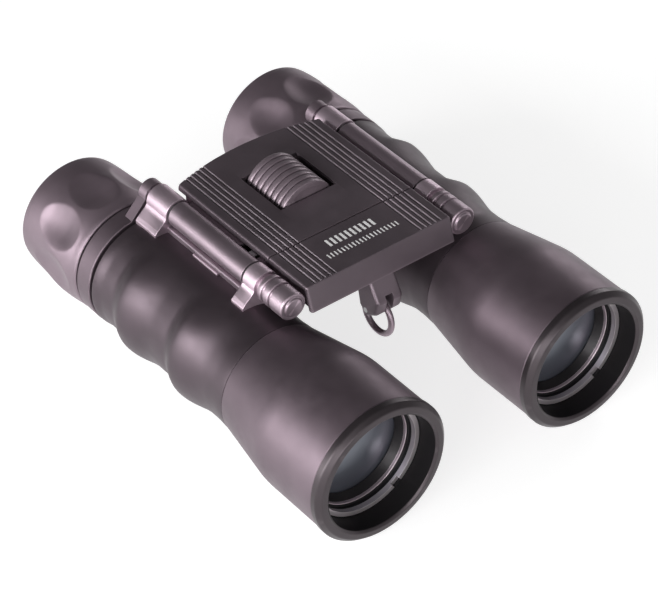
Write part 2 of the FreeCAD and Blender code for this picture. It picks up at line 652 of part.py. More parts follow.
def main():
    os.makedirs("parts", exist_ok=True)
    paired = {
        "rim_ring": rim_ring(),
        "objective_bell": objective_bell(),
        "objective_retainer": objective_retainer(),
        "objective_cell": objective_cell(),
        "objective_crown": lens(GLASS_R, GLASS_START + 0.25, 15.2, 1.5, 1.2),
        "objective_flint": lens(GLASS_R, 15.2, 17.6, -1.2, -0.5),
        "barrel_tube": barrel_tube(),
        "armour_sleeve": armour_sleeve(),
        "prism_housing": prism_housing(),
        "half_penta_prism": half_penta_prism(),
        "roof_prism": roof_prism(),
        "light_baffle": light_baffle(),
        "hinge_bracket": hinge_bracket(),
        "bracket_screws": bracket_screw_set(),
        "hinge_cap": hinge_cap(),
        "hinge_rod": hinge_rod(),
        "ocular_carrier": ocular_carrier(),
        "eyecup": eyecup(),
        "lens_cell": lens_cell(),
        "field_lens": lens(9.4, 110.4, 113.6, 1.0, 0.3),
        "eye_lens": lens(8.4, 126.4, 129.6, 0.2, 0.9),
        "ocular_retainer": ocular_retainer(),
    }
    for name, shape in paired.items():
        write(name + "_left", shape)
        if isinstance(shape, list):
            write(name + "_right", [mirrored(item) for item in shape])
        elif name != "objective_retainer":
            write(name + "_right", mirrored(shape))
    # both retainers are screwed home to the same angle, so this one is a shifted copy
    write("objective_retainer_right",
          paired["objective_retainer"].translated(Vector(-2 * BARREL_X, 0, 0)))
    single = {
        "bridge_frame": bridge_frame(),
        "rear_top_cover": rear_top_cover(),
        "front_top_cover": front_top_cover(),
        "bottom_cover": bottom_cover(),
        "cover_screws": cover_screw_set(),
        "focus_wheel": focus_wheel(),
        "focus_screw": focus_screw(),
        "focus_yoke": focus_yoke(),
        "wheel_bushes": wheel_bushes(),
        "hinge_washers": hinge_washers(),
        "strap_lug": strap_lug(),
        "strap_pin": strap_pin(),
        "strap_ring": strap_ring(),
    }
    for name, shape in single.items():
        write(name, shape)


main()
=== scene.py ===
import json
import math

import bmesh
import bpy
from mathutils import Matrix, Vector

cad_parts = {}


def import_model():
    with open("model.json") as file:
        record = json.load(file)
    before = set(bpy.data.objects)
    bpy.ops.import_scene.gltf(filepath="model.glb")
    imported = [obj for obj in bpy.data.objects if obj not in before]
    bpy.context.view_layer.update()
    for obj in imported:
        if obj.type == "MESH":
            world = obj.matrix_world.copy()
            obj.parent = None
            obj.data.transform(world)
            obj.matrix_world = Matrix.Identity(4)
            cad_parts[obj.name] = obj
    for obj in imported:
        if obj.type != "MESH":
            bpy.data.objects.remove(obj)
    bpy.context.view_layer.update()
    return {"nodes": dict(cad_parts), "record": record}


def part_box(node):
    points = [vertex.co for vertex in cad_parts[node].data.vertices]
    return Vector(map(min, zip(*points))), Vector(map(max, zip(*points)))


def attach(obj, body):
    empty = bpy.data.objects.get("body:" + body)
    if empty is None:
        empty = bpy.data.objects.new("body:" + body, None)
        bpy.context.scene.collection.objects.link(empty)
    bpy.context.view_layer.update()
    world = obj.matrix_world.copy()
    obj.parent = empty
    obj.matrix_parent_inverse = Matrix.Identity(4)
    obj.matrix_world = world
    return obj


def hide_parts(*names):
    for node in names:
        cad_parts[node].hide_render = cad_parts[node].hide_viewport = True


# Looks of a pair of compact double-hinge binoculars.
# Lengths are millimetres until they reach a mesh, where MM turns them into metres.
# "Stations" are distances along +Y from the front rims; radii are about a barrel's axis.

MM = 0.001

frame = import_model()
nodes = frame["nodes"]


def node_box(node):
    """Lowest and highest corner of a CAD node in millimetres."""
    low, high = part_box(node)
    return low / MM, high / MM


# ---------------------------------------------------------------- sizes taken from the frame
RIM_LOW, RIM_HIGH = node_box("rim_ring_left")
FRONT = RIM_LOW.y
RIM_R = (RIM_HIGH.x - RIM_LOW.x) / 2
BARREL_X = (RIM_LOW.x + RIM_HIGH.x) / 2
BARREL_Z = (RIM_LOW.z + RIM_HIGH.z) / 2
CAP_LOW, CAP_HIGH = node_box("hinge_cap_left")
HINGE_X = (CAP_LOW.x + CAP_HIGH.x) / 2
HINGE_Z = (CAP_LOW.z + CAP_HIGH.z) / 2
WHEEL_LOW, WHEEL_HIGH = node_box("focus_wheel")
WHEEL_Z = (WHEEL_LOW.z + WHEEL_HIGH.z) / 2
WHEEL_R = (WHEEL_HIGH.z - WHEEL_LOW.z) / 2
COVER_LOW, COVER_HIGH = node_box("rear_top_cover")
PLATE_TOP = COVER_HIGH.z
PLATE_HALF = COVER_HIGH.x
LENGTH = node_box("eyecup_left")[1].y - FRONT


def station(y):
    """Distance of a Y from the front rims."""
    return y - FRONT


# ---------------------------------------------------------------- sizes of the looks, millimetres
LIP_END = 3.4
RECESS_R = 17.3
RETAINER_START = 6.6
SEAT_START = 8.2
SEAT_R = 17.0
RECESS_END = 9.0
GLASS_START = 12.6
BELL_R = 20.95
BELL_END = 46.2
WAIST_R = 17.35
TUBE_R = 15.8
ARMOUR_END = 105.3
ARMOUR_END_R = 17.5
ARMOUR_STEP = 0.5
ARMOUR_R = 16.97                    # valleys between the swells
ARMOUR_CROWN_R = 17.9               # plain radius under the hinge bracket
SWELLS = (67.0, 91.0)               # stations of the crests
SWELL_FRONT = 12.5                  # length of a swell's gentle front slope
SWELL_REAR = 6.0
SWELL_HEIGHT = 1.93
SWELL_FADE = (12.0, 40.0)           # degrees from the crown: start and length of the fade
CROWN_RISE = (50.0, 9.0)            # where the crown rises behind the bell, and over what length
WAIST_BLEND = 6.0                   # length over which the armour leaves the waist
REAR_BLEND = 4.0                    # and over which it meets its rear lip
EYECUP_START = 113.1
MOUTH_START = 132.0
FACE_END = 131.5                    # rear of the plate round the eye lens
DIMPLES = 8
DIMPLE_TURN = 8.0                   # degrees from the crown to the first dimple, outwards
DIMPLE_HALF = 20.5                  # half width, degrees
DIMPLE_MIDDLE = 123.6
DIMPLE_FRONT = 7.4                  # reach of a dimple ahead of its middle
DIMPLE_REAR = 9.6
DIMPLE_DEPTH = 1.9

SEAM = 61.6                         # between the two top covers
PLATE_FRONT = 45.2                  # crease of the front cover
PLATE_T = 1.2
PLATE_LIP = 1.9
PLATE_EDGE_R = 0.7
APRON_FOOT = 42.8
APRON_LOW = PLATE_TOP - 7.1
WINDOW = (75.5, 93.5)
WINDOW_HALF = 9.5
GROOVES = (14.4, 16.1, 17.8, 19.5, 21.2)
GROOVE_DEPTH = 0.34
GROOVE_MOUTH = 0.4                  # half width of a groove at the surface
GROOVE_BED = 0.12                   # and at its floor
REAR_BOW = 4.0                      # how far the rear edge bows out between the corners
BOW_START = 97.0                    # station from which the rear cover follows the bow

# plain marks on the front cover: first and last x, count, width, and the two stations of a row
MARK_ROWS = [(-8.2, 6.4, 10, 0.8, 54.9, 57.9), (-11.6, 11.3, 20, 0.42, 51.0, 52.8)]

TURN_STEPS = 160                    # points round a barrel


# ---------------------------------------------------------------- materials
def node_of(tree, kind, **values):
    """New shader node with its inputs set by name."""
    made = tree.nodes.new(kind)
    for key, value in values.items():
        made.inputs[key.replace("_", " ")].default_value = value
    return made


def noise_of(tree, place, scale, detail=3.0, rough=0.55):
    noise = node_of(tree, "ShaderNodeTexNoise", Scale=scale, Detail=detail, Roughness=rough)
    tree.links.new(place.outputs["Object"], noise.inputs["Vector"])
    return noise


def ramp_of(tree, source, low, high, at=(0.3, 0.7)):
    """Colour ramp between two greys or colours."""
    ramp = tree.nodes.new("ShaderNodeValToRGB")
    for stop, colour, position in zip(ramp.color_ramp.elements, (low, high), at):
        stop.color = (*colour, 1.0) if hasattr(colour, "__len__") else (colour,) * 3 + (1.0,)
        stop.position = position
    tree.links.new(source, ramp.inputs["Fac"])
    return ramp


def shaded(colour, factor):
    return tuple(min(1.0, channel * factor) for channel in colour)


def finish(name, colour, metallic, roughness, grain, grain_height, mottle=0.12, edge_highlight_amount=0.35,
           edge_r=0.12):
    """Moulded or painted surface: mottled colour, fine grain, uneven gloss, and a painted highlight on
    sharp edges.
    """
    material = bpy.data.materials.new(name)
    material.use_nodes = True
    tree = material.node_tree
    shader = tree.nodes["Principled BSDF"]
    shader.inputs["Metallic"].default_value = metallic
    place = tree.nodes.new("ShaderNodeTexCoord")

    patches = noise_of(tree, place, 55.0)
    tone = ramp_of(tree, patches.outputs["Fac"], shaded(colour, 1 - mottle), shaded(colour, 1 + mottle))
    # Painted edge highlight: where pointiness marks a sharp edge, the colour is mixed towards a 2.6
    # times lighter copy of itself.
    geometry = tree.nodes.new("ShaderNodeNewGeometry")
    edges = ramp_of(tree, geometry.outputs["Pointiness"], 0.0, edge_highlight_amount, (0.52, 0.60))
    edge_highlight_mix = tree.nodes.new("ShaderNodeMix")
    edge_highlight_mix.data_type = "RGBA"
    edge_highlight_mix.inputs["B"].default_value = (*shaded(colour, 2.6), 1.0)
    tree.links.new(edges.outputs["Color"], edge_highlight_mix.inputs["Factor"])
    tree.links.new(tone.outputs["Color"], edge_highlight_mix.inputs["A"])
    tree.links.new(edge_highlight_mix.outputs["Result"], shader.inputs["Base Color"])

    smears = noise_of(tree, place, 130.0, 5.0, 0.6)
    gloss = ramp_of(tree, smears.outputs["Fac"], roughness - 0.05, roughness + 0.07)
    tree.links.new(gloss.outputs["Color"], shader.inputs["Roughness"])

    fine = noise_of(tree, place, grain, 2.0)
    rounded = tree.nodes.new("ShaderNodeBevel")
    rounded.samples = 4
    rounded.inputs["Radius"].default_value = edge_r * MM
    bump = node_of(tree, "ShaderNodeBump", Strength=0.5, Distance=grain_height * MM)
    tree.links.new(fine.outputs["Fac"], bump.inputs["Height"])
    tree.links.new(rounded.outputs["Normal"], bump.inputs["Normal"])
    tree.links.new(bump.outputs["Normal"], shader.inputs["Normal"])
    return material


def turned_metal(name, colour, roughness, anisotropy=0.0):
    """Machined metal with fine tool lines round the turning axis."""
    material = finish(name, colour, 1.0, roughness, 900.0, 0.01, mottle=0.08, edge_highlight_amount=0.2)
    tree = material.node_tree
    shader = tree.nodes["Principled BSDF"]
    shader.inputs["Anisotropic"].default_value = anisotropy
    place = next(n for n in tree.nodes if n.type == "TEX_COORD")
    lines = tree.nodes.new("ShaderNodeTexWave")
    lines.wave_type = "BANDS"
    lines.bands_direction = "Y"
    lines.inputs["Scale"].default_value = 900.0
    lines.inputs["Distortion"].default_value = 0.6
    tree.links.new(place.outputs["Object"], lines.inputs["Vector"])
    bump = next(n for n in tree.nodes if n.type == "BUMP")
    tree.links.new(lines.outputs["Fac"], bump.inputs["Height"])
    return material


def glass(name, colour, clear, tint, blur):
    """Coated lens: a dark body with a cool reflection and a trace of dust."""
    material = bpy.data.materials.new(name)
    material.use_nodes = True
    tree = material.node_tree
    shader = tree.nodes["Principled BSDF"]
    shader.inputs["Transmission Weight"].default_value = clear
    shader.inputs["IOR"].default_value = 1.72
    shader.inputs["Specular IOR Level"].default_value = 1.0
    shader.inputs["Specular Tint"].default_value = (*tint, 1.0)
    shader.inputs["Coat Weight"].default_value = 0.3
    shader.inputs["Coat Roughness"].default_value = blur
    shader.inputs["Coat Tint"].default_value = (*tint, 1.0)
    place = tree.nodes.new("ShaderNodeTexCoord")
    bloom = noise_of(tree, place, 40.0)
    tone = ramp_of(tree, bloom.outputs["Fac"], shaded(colour, 0.85), shaded(colour, 1.15))
    tree.links.new(tone.outputs["Color"], shader.inputs["Base Color"])
    dust = noise_of(tree, place, 60.0, 1.0)
    haze = ramp_of(tree, dust.outputs["Fac"], blur, blur + 0.03, (0.2, 0.9))
    tree.links.new(haze.outputs["Color"], shader.inputs["Roughness"])
    return material


MAUVE = (0.122, 0.095, 0.111)
# Painted light: the mauve made 1.30 times lighter for the bells, for how the light falls on them.
BRIGHTENED_SHELL_PAINT = finish("shell_paint_painted_light", shaded(MAUVE, 1.30), 0.85, 0.47, 2600.0, 0.012)
LIP = finish("lip_paint", (0.060, 0.050, 0.055), 0.8, 0.35, 2200.0, 0.010, edge_highlight_amount=0.2)
# Painted shade: the same mauve made 0.70 times darker for the armour, for how the light falls on it.
DARKENED_ARMOUR_RUBBER = finish("armour_rubber_painted_shade", shaded(MAUVE, 0.70), 0.80, 0.45, 3200.0, 0.014, mottle=0.1,
                edge_highlight_amount=0.04)
# Painted light: the same mauve made 1.85 times lighter for the eyecups, for how the light falls on
# them.
BRIGHTENED_CUP_RUBBER = finish("eyecup_rubber_painted_light", shaded(MAUVE, 1.85), 0.80, 0.47, 3200.0, 0.014, mottle=0.1,
                    edge_highlight_amount=0.04)
COVER = finish("satin_cover", (0.135, 0.107, 0.124), 0.7, 0.44, 2400.0, 0.012)
CASTING = finish("satin_casting", (0.350, 0.280, 0.322), 0.9, 0.42, 1800.0, 0.010, edge_highlight_amount=0.4,
                 edge_r=0.35)
KNUCKLE = finish("knuckle_paint", (0.225, 0.179, 0.207), 0.9, 0.40, 1800.0, 0.010, edge_highlight_amount=0.3,
                 edge_r=0.3)
WHEEL = finish("wheel_rubber", (0.230, 0.182, 0.210), 0.6, 0.38, 2800.0, 0.014)
BLACKING = finish("black_lining", (0.008, 0.007, 0.008), 0.0, 0.60, 1500.0, 0.02, edge_highlight_amount=0.1)
BLACKING.node_tree.nodes["Principled BSDF"].inputs["Specular IOR Level"].default_value = 0.15
ANODISED = finish("black_anodised", (0.022, 0.020, 0.022), 0.6, 0.36, 1500.0, 0.01, edge_highlight_amount=0.3)
RETAINER = finish("satin_ring", (0.52, 0.43, 0.47), 0.85, 0.36, 1500.0, 0.01, edge_highlight_amount=0.3)
# Painted highlight: a lighter satin on the walls of the cover grooves, so they read as thin bright
# lines.
GROOVE_HIGHLIGHT = finish("painted_groove_highlight", (0.34, 0.29, 0.325), 0.8, 0.34, 1800.0, 0.008, edge_highlight_amount=0.3)
NYLON = finish("washer_nylon", (0.03, 0.03, 0.03), 0.0, 0.5, 1200.0, 0.02)
PRINT = finish("pale_print", (0.86, 0.85, 0.85), 0.0, 0.5, 1400.0, 0.01, mottle=0.05, edge_highlight_amount=0.0)
STEEL = turned_metal("turned_steel", (0.55, 0.55, 0.56), 0.28, 0.3)
BRASS = turned_metal("turned_brass", (0.72, 0.52, 0.24), 0.30, 0.3)
ALLOY = turned_metal("machined_alloy", (0.62, 0.62, 0.63), 0.34)
COATED = glass("coated_lens", (0.030, 0.032, 0.040), 0.0, (0.86, 0.90, 1.0), 0.32)
CLEAR = glass("clear_lens", (0.80, 0.84, 0.84), 0.9, (0.9, 0.95, 1.0), 0.05)

SLOT_MATERIALS = {
    "shell_plastic": BRIGHTENED_SHELL_PAINT, "armour_rubber": DARKENED_ARMOUR_RUBBER, "cover_plastic": COVER,
    "satin_casting": CASTING, "chassis_plastic": BLACKING, "black_metal": ANODISED,
    "wheel_rubber": WHEEL, "strap_wire": CASTING, "steel": STEEL, "brass": BRASS,
    "ring_metal": RETAINER, "alloy": ALLOY, "nylon": NYLON, "coated_glass": COATED,
    "clear_glass": CLEAR,
}


def dress_cad_nodes():
    """Every CAD node gets its slot's material, and the frame's knuckles a darker paint."""
    for row in frame["record"]["subparts"]:
        mesh = nodes[row["node"]].data
        mesh.materials.clear()
        darker = row["node"] == "bridge_frame"
        mesh.materials.append(KNUCKLE if darker else SLOT_MATERIALS[row["material_slot"]])


# ---------------------------------------------------------------- mesh helpers
def rounded(corners, steps=5, closed=True):
    """Points of an outline whose corners are (u, v) or (u, v, rounding radius)."""
    count = len(corners)
    points = []
    for i, corner in enumerate(corners):
        here = Vector(corner[:2])
        if len(corner) == 2 or (not closed and i in (0, count - 1)):
            points.append(here)
            continue
        to_before = (Vector(corners[i - 1][:2]) - here).normalized()
        to_after = (Vector(corners[(i + 1) % count][:2]) - here).normalized()
        half_angle = to_before.angle(to_after) / 2
        radius = corner[2]
        reach = radius / math.tan(half_angle)
        centre = here + (to_before + to_after).normalized() * radius / math.sin(half_angle)
        first = here + to_before * reach - centre
        turn = (here + to_after * reach - centre).angle_signed(first)
        for step in range(steps + 1):
            points.append(centre + Matrix.Rotation(turn * step / steps, 2) @ first)
    return points


def finished(name, mesh_builder, material, body, replaced=(), smooth_angle=35.0):
    """Turns a bmesh into a piece that rides on a body and stands for CAD nodes."""
    mesh = bpy.data.meshes.new(name)
    bmesh.ops.recalc_face_normals(mesh_builder, faces=mesh_builder.faces)
    mesh_builder.to_mesh(mesh)
    mesh_builder.free()
    materials = material if isinstance(material, (list, tuple)) else [material]
    for item in materials:
        mesh.materials.append(item)
    piece = bpy.data.objects.new(name, mesh)
    bpy.context.scene.collection.objects.link(piece)
    mesh.shade_smooth()
    mesh.set_sharp_from_angle(angle=math.radians(smooth_angle))
    normals = piece.modifiers.new("even_normals", "WEIGHTED_NORMAL")
    normals.keep_sharp = True
    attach(piece, body)
    if replaced:
        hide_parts(*replaced)
    return piece


def add_lathe(builder, profile, axis_x, axis_z, steps=TURN_STEPS, radius_at=None, zones=None):
    """Closed ring of revolution about an axis along Y; its profile is (station, radius)."""
    rings = []
    for along, radius in profile:
        ring = []
        for step in range(steps):
            turn = 2 * math.pi * step / steps
            reach = radius if radius_at is None else radius_at(along, radius, turn)
            ring.append(builder.verts.new((
                (axis_x + reach * math.cos(turn)) * MM, (FRONT + along) * MM,
                (axis_z + reach * math.sin(turn)) * MM)))
        rings.append(ring)
    for index, ring in enumerate(rings):
        following = rings[(index + 1) % len(rings)]
        middle = (profile[index][0] + profile[(index + 1) % len(rings)][0]) / 2
        for step in range(steps):
            after = (step + 1) % steps
            face = builder.faces.new((ring[step], ring[after], following[after], following[step]))
            if zones is not None:
                face.material_index = zones(middle, profile[index][1])
    return rings


def add_solid_turning(builder, profile, axis_x, axis_z, steps=TURN_STEPS):
    """Solid of revolution: the profile's first and last points are caps with no hole."""
    rings = []
    for along, radius in profile:
        rings.append([builder.verts.new((
            (axis_x + radius * math.cos(2 * math.pi * i / steps)) * MM, (FRONT + along) * MM,
            (axis_z + radius * math.sin(2 * math.pi * i / steps)) * MM)) for i in range(steps)])
    for ring, following in zip(rings, rings[1:]):
        for step in range(steps):
            after = (step + 1) % steps
            builder.faces.new((ring[step], ring[after], following[after], following[step]))
    builder.faces.new(rings[0])
    builder.faces.new(list(reversed(rings[-1])))


# ---------------------------------------------------------------- barrels
def smooth(value):
    value = min(1.0, max(0.0, value))
    return value * value * (3 - 2 * value)


def from_crown(turn):
    """Degrees between a direction about the barrel axis and straight up."""
    return abs((math.degrees(turn) + 90) % 360 - 180)


def armour_radius(along, radius, turn):
    """Two finger swells, steep at the back and gentle in front, that fade out at the crown."""
    if radius <= TUBE_R:
        return radius
    wavy = ARMOUR_R
    for crest in SWELLS:
        away = (along - crest) / (SWELL_REAR if along > crest else SWELL_FRONT)
        wavy += SWELL_HEIGHT * (1 + math.cos(math.pi * min(1.0, abs(away)))) / 2
    share = smooth((from_crown(turn) - SWELL_FADE[0]) / SWELL_FADE[1])
    rise = smooth((along - CROWN_RISE[0]) / CROWN_RISE[1])
    plain = ARMOUR_R + (ARMOUR_CROWN_R - ARMOUR_R) * rise
    settled = plain + (wavy - plain) * share
    waist = WAIST_R - 0.05
    settled = waist + (settled - waist) * smooth((along - BELL_END) / WAIST_BLEND)
    return ARMOUR_END_R + (settled - ARMOUR_END_R) * smooth((ARMOUR_END - along) / REAR_BLEND)


def armour(side, axis_x):
    count = int((ARMOUR_END - BELL_END) / ARMOUR_STEP)
    step = (ARMOUR_END - BELL_END) / count
    outer = [(BELL_END + step * i, TUBE_R + 1.2) for i in range(count + 1)]
    profile = outer + [(ARMOUR_END, TUBE_R), (BELL_END, TUBE_R)]
    builder = bmesh.new()
    add_lathe(builder, profile, axis_x, BARREL_Z, 224, armour_radius)
    return finished(f"armour_{side}", builder, DARKENED_ARMOUR_RUBBER, f"barrel_{side}",
                    [f"armour_sleeve_{side}"])


def rim(side, axis_x):
    """Lip with a rounded satin front and a black recess."""
    corners = [(0.55, RECESS_R + 0.15, 0.3), (0.0, RECESS_R + 0.9, 0.5), (0.12, RIM_R - 1.3, 0.9),
               (1.5, RIM_R, 0.9), (LIP_END - 0.15, RIM_R, 0.15), (LIP_END, RIM_R - 0.35),
               (LIP_END, 19.6), (RECESS_END, 19.6), (RECESS_END, SEAT_R),
               (RETAINER_START, SEAT_R), (RETAINER_START, RECESS_R)]
    builder = bmesh.new()
    add_lathe(builder, rounded(corners), axis_x, BARREL_Z,
              zones=lambda middle, radius: int(middle > 0.9 and radius < RECESS_R + 0.3))
    return finished(f"rim_{side}", builder, [LIP, BLACKING], f"barrel_{side}",
                    [f"rim_ring_{side}"])


def bell(side, axis_x):
    corners = [(LIP_END + 0.05, BELL_R - 0.2), (LIP_END + 0.3, BELL_R, 0.2), (25.9, BELL_R, 30.0),
               (BELL_END - 0.08, WAIST_R + 0.02, 0.3), (BELL_END - 0.08, TUBE_R), (38.0, TUBE_R),
               (30.0, SEAT_R), (RECESS_END, SEAT_R), (RECESS_END, 19.6), (LIP_END + 0.05, 19.6)]
    builder = bmesh.new()
    add_lathe(builder, rounded(corners, 14), axis_x, BARREL_Z,
              zones=lambda middle, radius: int(radius <= SEAT_R and middle < 31.0))
    return finished(f"bell_{side}", builder, [BRIGHTENED_SHELL_PAINT, BLACKING], f"barrel_{side}",
                    [f"objective_bell_{side}"])


def objective_front(side, axis_x):
    """The stepped seat round the front glass."""
    corners = [(SEAT_START, SEAT_R - 0.02), (SEAT_START, 16.0), (9.5, 15.9, 0.15), (9.5, 15.0, 0.2),
               (10.3, 14.9, 0.25), (GLASS_START, 13.4, 0.1), (GLASS_START, 14.2), (18.6, 14.2),
               (18.6, SEAT_R - 0.02)]
    builder = bmesh.new()
    add_lathe(builder, rounded(corners), axis_x, BARREL_Z,
              zones=lambda middle, radius: int(9.4 < middle < 10.6 and radius < 15.6))
    return finished(f"objective_seat_{side}", builder, [ANODISED, RETAINER], f"barrel_{side}",
                    [f"objective_cell_{side}"])


def lens_piece(name, axis_x, front, rim_station, edge, radius, bulge, body, replaced):
    """Lens with a spherical outer face; front is -1 where it looks to -Y and 1 to +Y."""
    profile = [(edge, 0.02), (edge, radius), (rim_station, radius)]
    rings = 24
    for i in range(1, rings + 1):
        share = 1 - i / rings
        profile.append((rim_station + front * bulge * (1 - share ** 2), max(0.02, radius * share)))
    builder = bmesh.new()
    add_solid_turning(builder, profile, axis_x, BARREL_Z)
    return finished(name, builder, COATED, body, replaced)


def dimple_depth(along, turn, sign):
    """Scooped finger dimples: steeper in front, with a longer soft tail to the rear."""
    pitch = 360 / DIMPLES
    off = (math.degrees(turn) - 90 + sign * DIMPLE_TURN + pitch / 2) % pitch - pitch / 2
    reach = DIMPLE_REAR if along > DIMPLE_MIDDLE else DIMPLE_FRONT
    away = (off / DIMPLE_HALF) ** 2 + ((along - DIMPLE_MIDDLE) / reach) ** 2
    return DIMPLE_DEPTH * max(0.0, 1 - away) ** 1.35


def through(points, steps):
    """Soft curve through (station, radius) points."""
    slopes = []
    for i, here in enumerate(points):
        before, after = points[max(0, i - 1)], points[min(len(points) - 1, i + 1)]
        slopes.append((after[1] - before[1]) / (after[0] - before[0]))
    curve = [Vector(points[0])]
    for i, (low, high) in enumerate(zip(points, points[1:])):
        length = high[0] - low[0]
        for step in range(1, steps + 1):
            t = step / steps
            rise = (low[1] * (1 - t) ** 2 * (1 + 2 * t) + high[1] * t ** 2 * (3 - 2 * t)
                    + length * t * (1 - t) * (slopes[i] * (1 - t) - slopes[i + 1] * t))
            curve.append(Vector((low[0] + length * t, rise)))
    return curve


def eyecup(side, sign, body):
    """Soft eyecup with eight dimples and a rounded, slightly hollow mouth."""
    outside = through([(EYECUP_START, 17.35), (EYECUP_START + 0.4, 17.65), (115.5, 17.85),
                       (118.0, 18.2), (121.0, 18.5), (124.0, 18.6), (127.0, 18.4), (130.0, 18.05),
                       (133.0, 17.85), (136.0, 17.65), (138.2, 17.42)], 7)
    lip = rounded([outside[-1], (139.9, 17.1, 1.2), (LENGTH, 15.9, 0.7), (LENGTH, 14.6, 0.5),
                   (MOUTH_START, 13.2, 0.3), (129.8, 13.2)], closed=False)
    profile = outside + lip[1:] + [Vector((129.8, 14.42)), Vector((EYECUP_START, 14.42))]

    def pressed(along, radius, turn):
        if radius < 16.0 or along > 136.0:
            return radius
        return radius - dimple_depth(along, turn, sign)

    builder = bmesh.new()
    add_lathe(builder, profile, sign * BARREL_X, BARREL_Z, 288, pressed)
    return finished(f"eyecup_shell_{side}", builder, BRIGHTENED_CUP_RUBBER, body,
                    [f"eyecup_{side}"])


def ocular_face(side, axis_x, body):
    """Black face plate with the funnel down to the eye lens."""
    end = FACE_END
    corners = [(end, 13.0, 0.3), (end, 10.6, 0.4), (end - 0.6, 10.2, 0.2), (end - 0.6, 9.3, 0.2),
               (end - 1.9, 8.3, 0.3), (end - 5.5, 8.2), (end - 5.5, 7.2), (114.0, 7.2),
               (114.0, 9.4), (109.0, 9.4), (109.0, 10.2), (105.0, 10.2), (105.0, 12.0),
               (end - 1.5, 12.0), (end - 1.5, 13.0)]
    builder = bmesh.new()
    add_lathe(builder, rounded(corners), axis_x, BARREL_Z)
    return finished(f"ocular_face_{side}", builder, ANODISED, body,
                    [f"lens_cell_{side}", f"ocular_retainer_{side}"])


def hinge_cap(side, axis_x):
    """Turned nut with two grooves and a domed end."""
    corners = [(44.6, 0.02), (44.6, 2.6, 0.4), (45.2, 2.9, 0.3), (44.9, 4.1, 0.5), (50.3, 4.1, 0.3),
               (50.4, 3.5, 0.1), (51.0, 3.5, 0.1), (51.1, 4.1, 0.3), (53.1, 4.1, 0.3),
               (53.2, 3.5, 0.1), (54.0, 3.5, 0.1), (54.1, 4.1, 0.3), (55.5, 4.0, 0.3),
               (55.6, 3.2, 0.1), (56.9, 3.2), (56.9, 0.02)]
    builder = bmesh.new()
    add_solid_turning(builder, rounded(corners, 4), axis_x, HINGE_Z, 72)
    return finished(f"hinge_nut_{side}", builder, CASTING, f"barrel_{side}",
                    [f"hinge_cap_{side}"])


def build_barrel(side, sign, cup_body, cell_body):
    axis_x = sign * BARREL_X
    rim(side, axis_x)
    bell(side, axis_x)
    armour(side, axis_x)
    objective_front(side, axis_x)
    lens_piece(f"front_glass_{side}", axis_x, -1, GLASS_START + 0.25, 15.2, 14.2, 1.5,
               f"barrel_{side}", [f"objective_crown_{side}"])
    eyecup(side, sign, cup_body)
    ocular_face(side, axis_x, cell_body)
    lens_piece(f"eye_glass_{side}", axis_x, 1, 129.2, 126.4, 8.15, 0.9, cell_body,
               [f"eye_lens_{side}"])
    hinge_cap(side, sign * HINGE_X)


# ---------------------------------------------------------------- bridge
def focus_wheel():
    """Ribbed wheel: eight rounded rings with narrow grooves between them."""
    start, end = station(WHEEL_LOW.y), station(WHEEL_HIGH.y)
    ribs = 8
    pitch = (end - start) / ribs
    corners = [(start, 3.0), (start, WHEEL_R - 1.6, 0.4)]
    for i in range(ribs):
        low = start + pitch * i
        corners += [(low + 0.14 * pitch, WHEEL_R, 0.42), (low + 0.86 * pitch, WHEEL_R, 0.42)]
        if i < ribs - 1:
            corners.append((low + pitch, WHEEL_R - 1.15, 0.12))
    corners += [(end, WHEEL_R - 1.6, 0.4), (end, 3.0)]
    builder = bmesh.new()
    add_lathe(builder, rounded(corners, 6), 0.0, WHEEL_Z, 144)
    return finished("ribbed_wheel", builder, WHEEL, "focus_wheel", ["focus_wheel"])


def add_sheet(builder, columns, rows, outer, inner, gap=None, lines=None):
    """Closed sheet whose two sides are outer(x, row) and inner(x, row), as (station, z)."""
    def vertex(place, x, row):
        along, z = place(x, row)
        return builder.verts.new((x * MM, (FRONT + along) * MM, z * MM))

    sides = [[[vertex(place, x, row) for x in columns] for row in rows]
             for place in (outer, inner)]
    cells = set()
    for i in range(len(rows) - 1):
        for j in range(len(columns) - 1):
            middle = (columns[j] + columns[j + 1]) / 2
            if gap is None or not gap(middle, (rows[i][0] + rows[i + 1][0]) / 2):
                cells.add((i, j))
    top, low = sides
    for i, j in cells:
        for side in sides:
            face = builder.faces.new((side[i][j], side[i][j + 1], side[i + 1][j + 1],
                                      side[i + 1][j]))
            middle = (columns[j] + columns[j + 1]) / 2
            # Top faces on a groove wall take the second material, the painted groove highlight.
            if side is top and lines is not None and lines(middle, rows[i]):
                face.material_index = 1
        borders = (((i - 1, j), (i, j), (i, j + 1)), ((i + 1, j), (i + 1, j), (i + 1, j + 1)),
                   ((i, j - 1), (i, j), (i + 1, j)), ((i, j + 1), (i, j + 1), (i + 1, j + 1)))
        for near, (i1, j1), (i2, j2) in borders:
            if near not in cells:
                builder.faces.new((top[i1][j1], top[i2][j2], low[i2][j2], low[i1][j1]))


def cover_columns():
    """X positions across a cover: close together at its edges and grooves."""
    half = [0.0, 4.0, WINDOW_HALF, WINDOW_HALF + 0.3]
    away = (GROOVE_MOUTH + 0.1, GROOVE_MOUTH, GROOVE_BED)
    for groove in GROOVES:
        half += [groove + sign * offset for sign in (-1, 1) for offset in away]
    half += [PLATE_HALF - 0.9]
    half += [PLATE_HALF - PLATE_EDGE_R * (1 - math.sin(math.radians(a))) for a in (0, 22, 45, 68, 90)]
    return sorted({sign * x for x in half for sign in (-1, 1)})


def edge_drop(x):
    """How far the rounding of a cover's side edge lies below its top."""
    past = max(0.0, abs(x) - PLATE_HALF + PLATE_EDGE_R)
    return PLATE_EDGE_R - math.sqrt(max(0.0, PLATE_EDGE_R ** 2 - past ** 2))


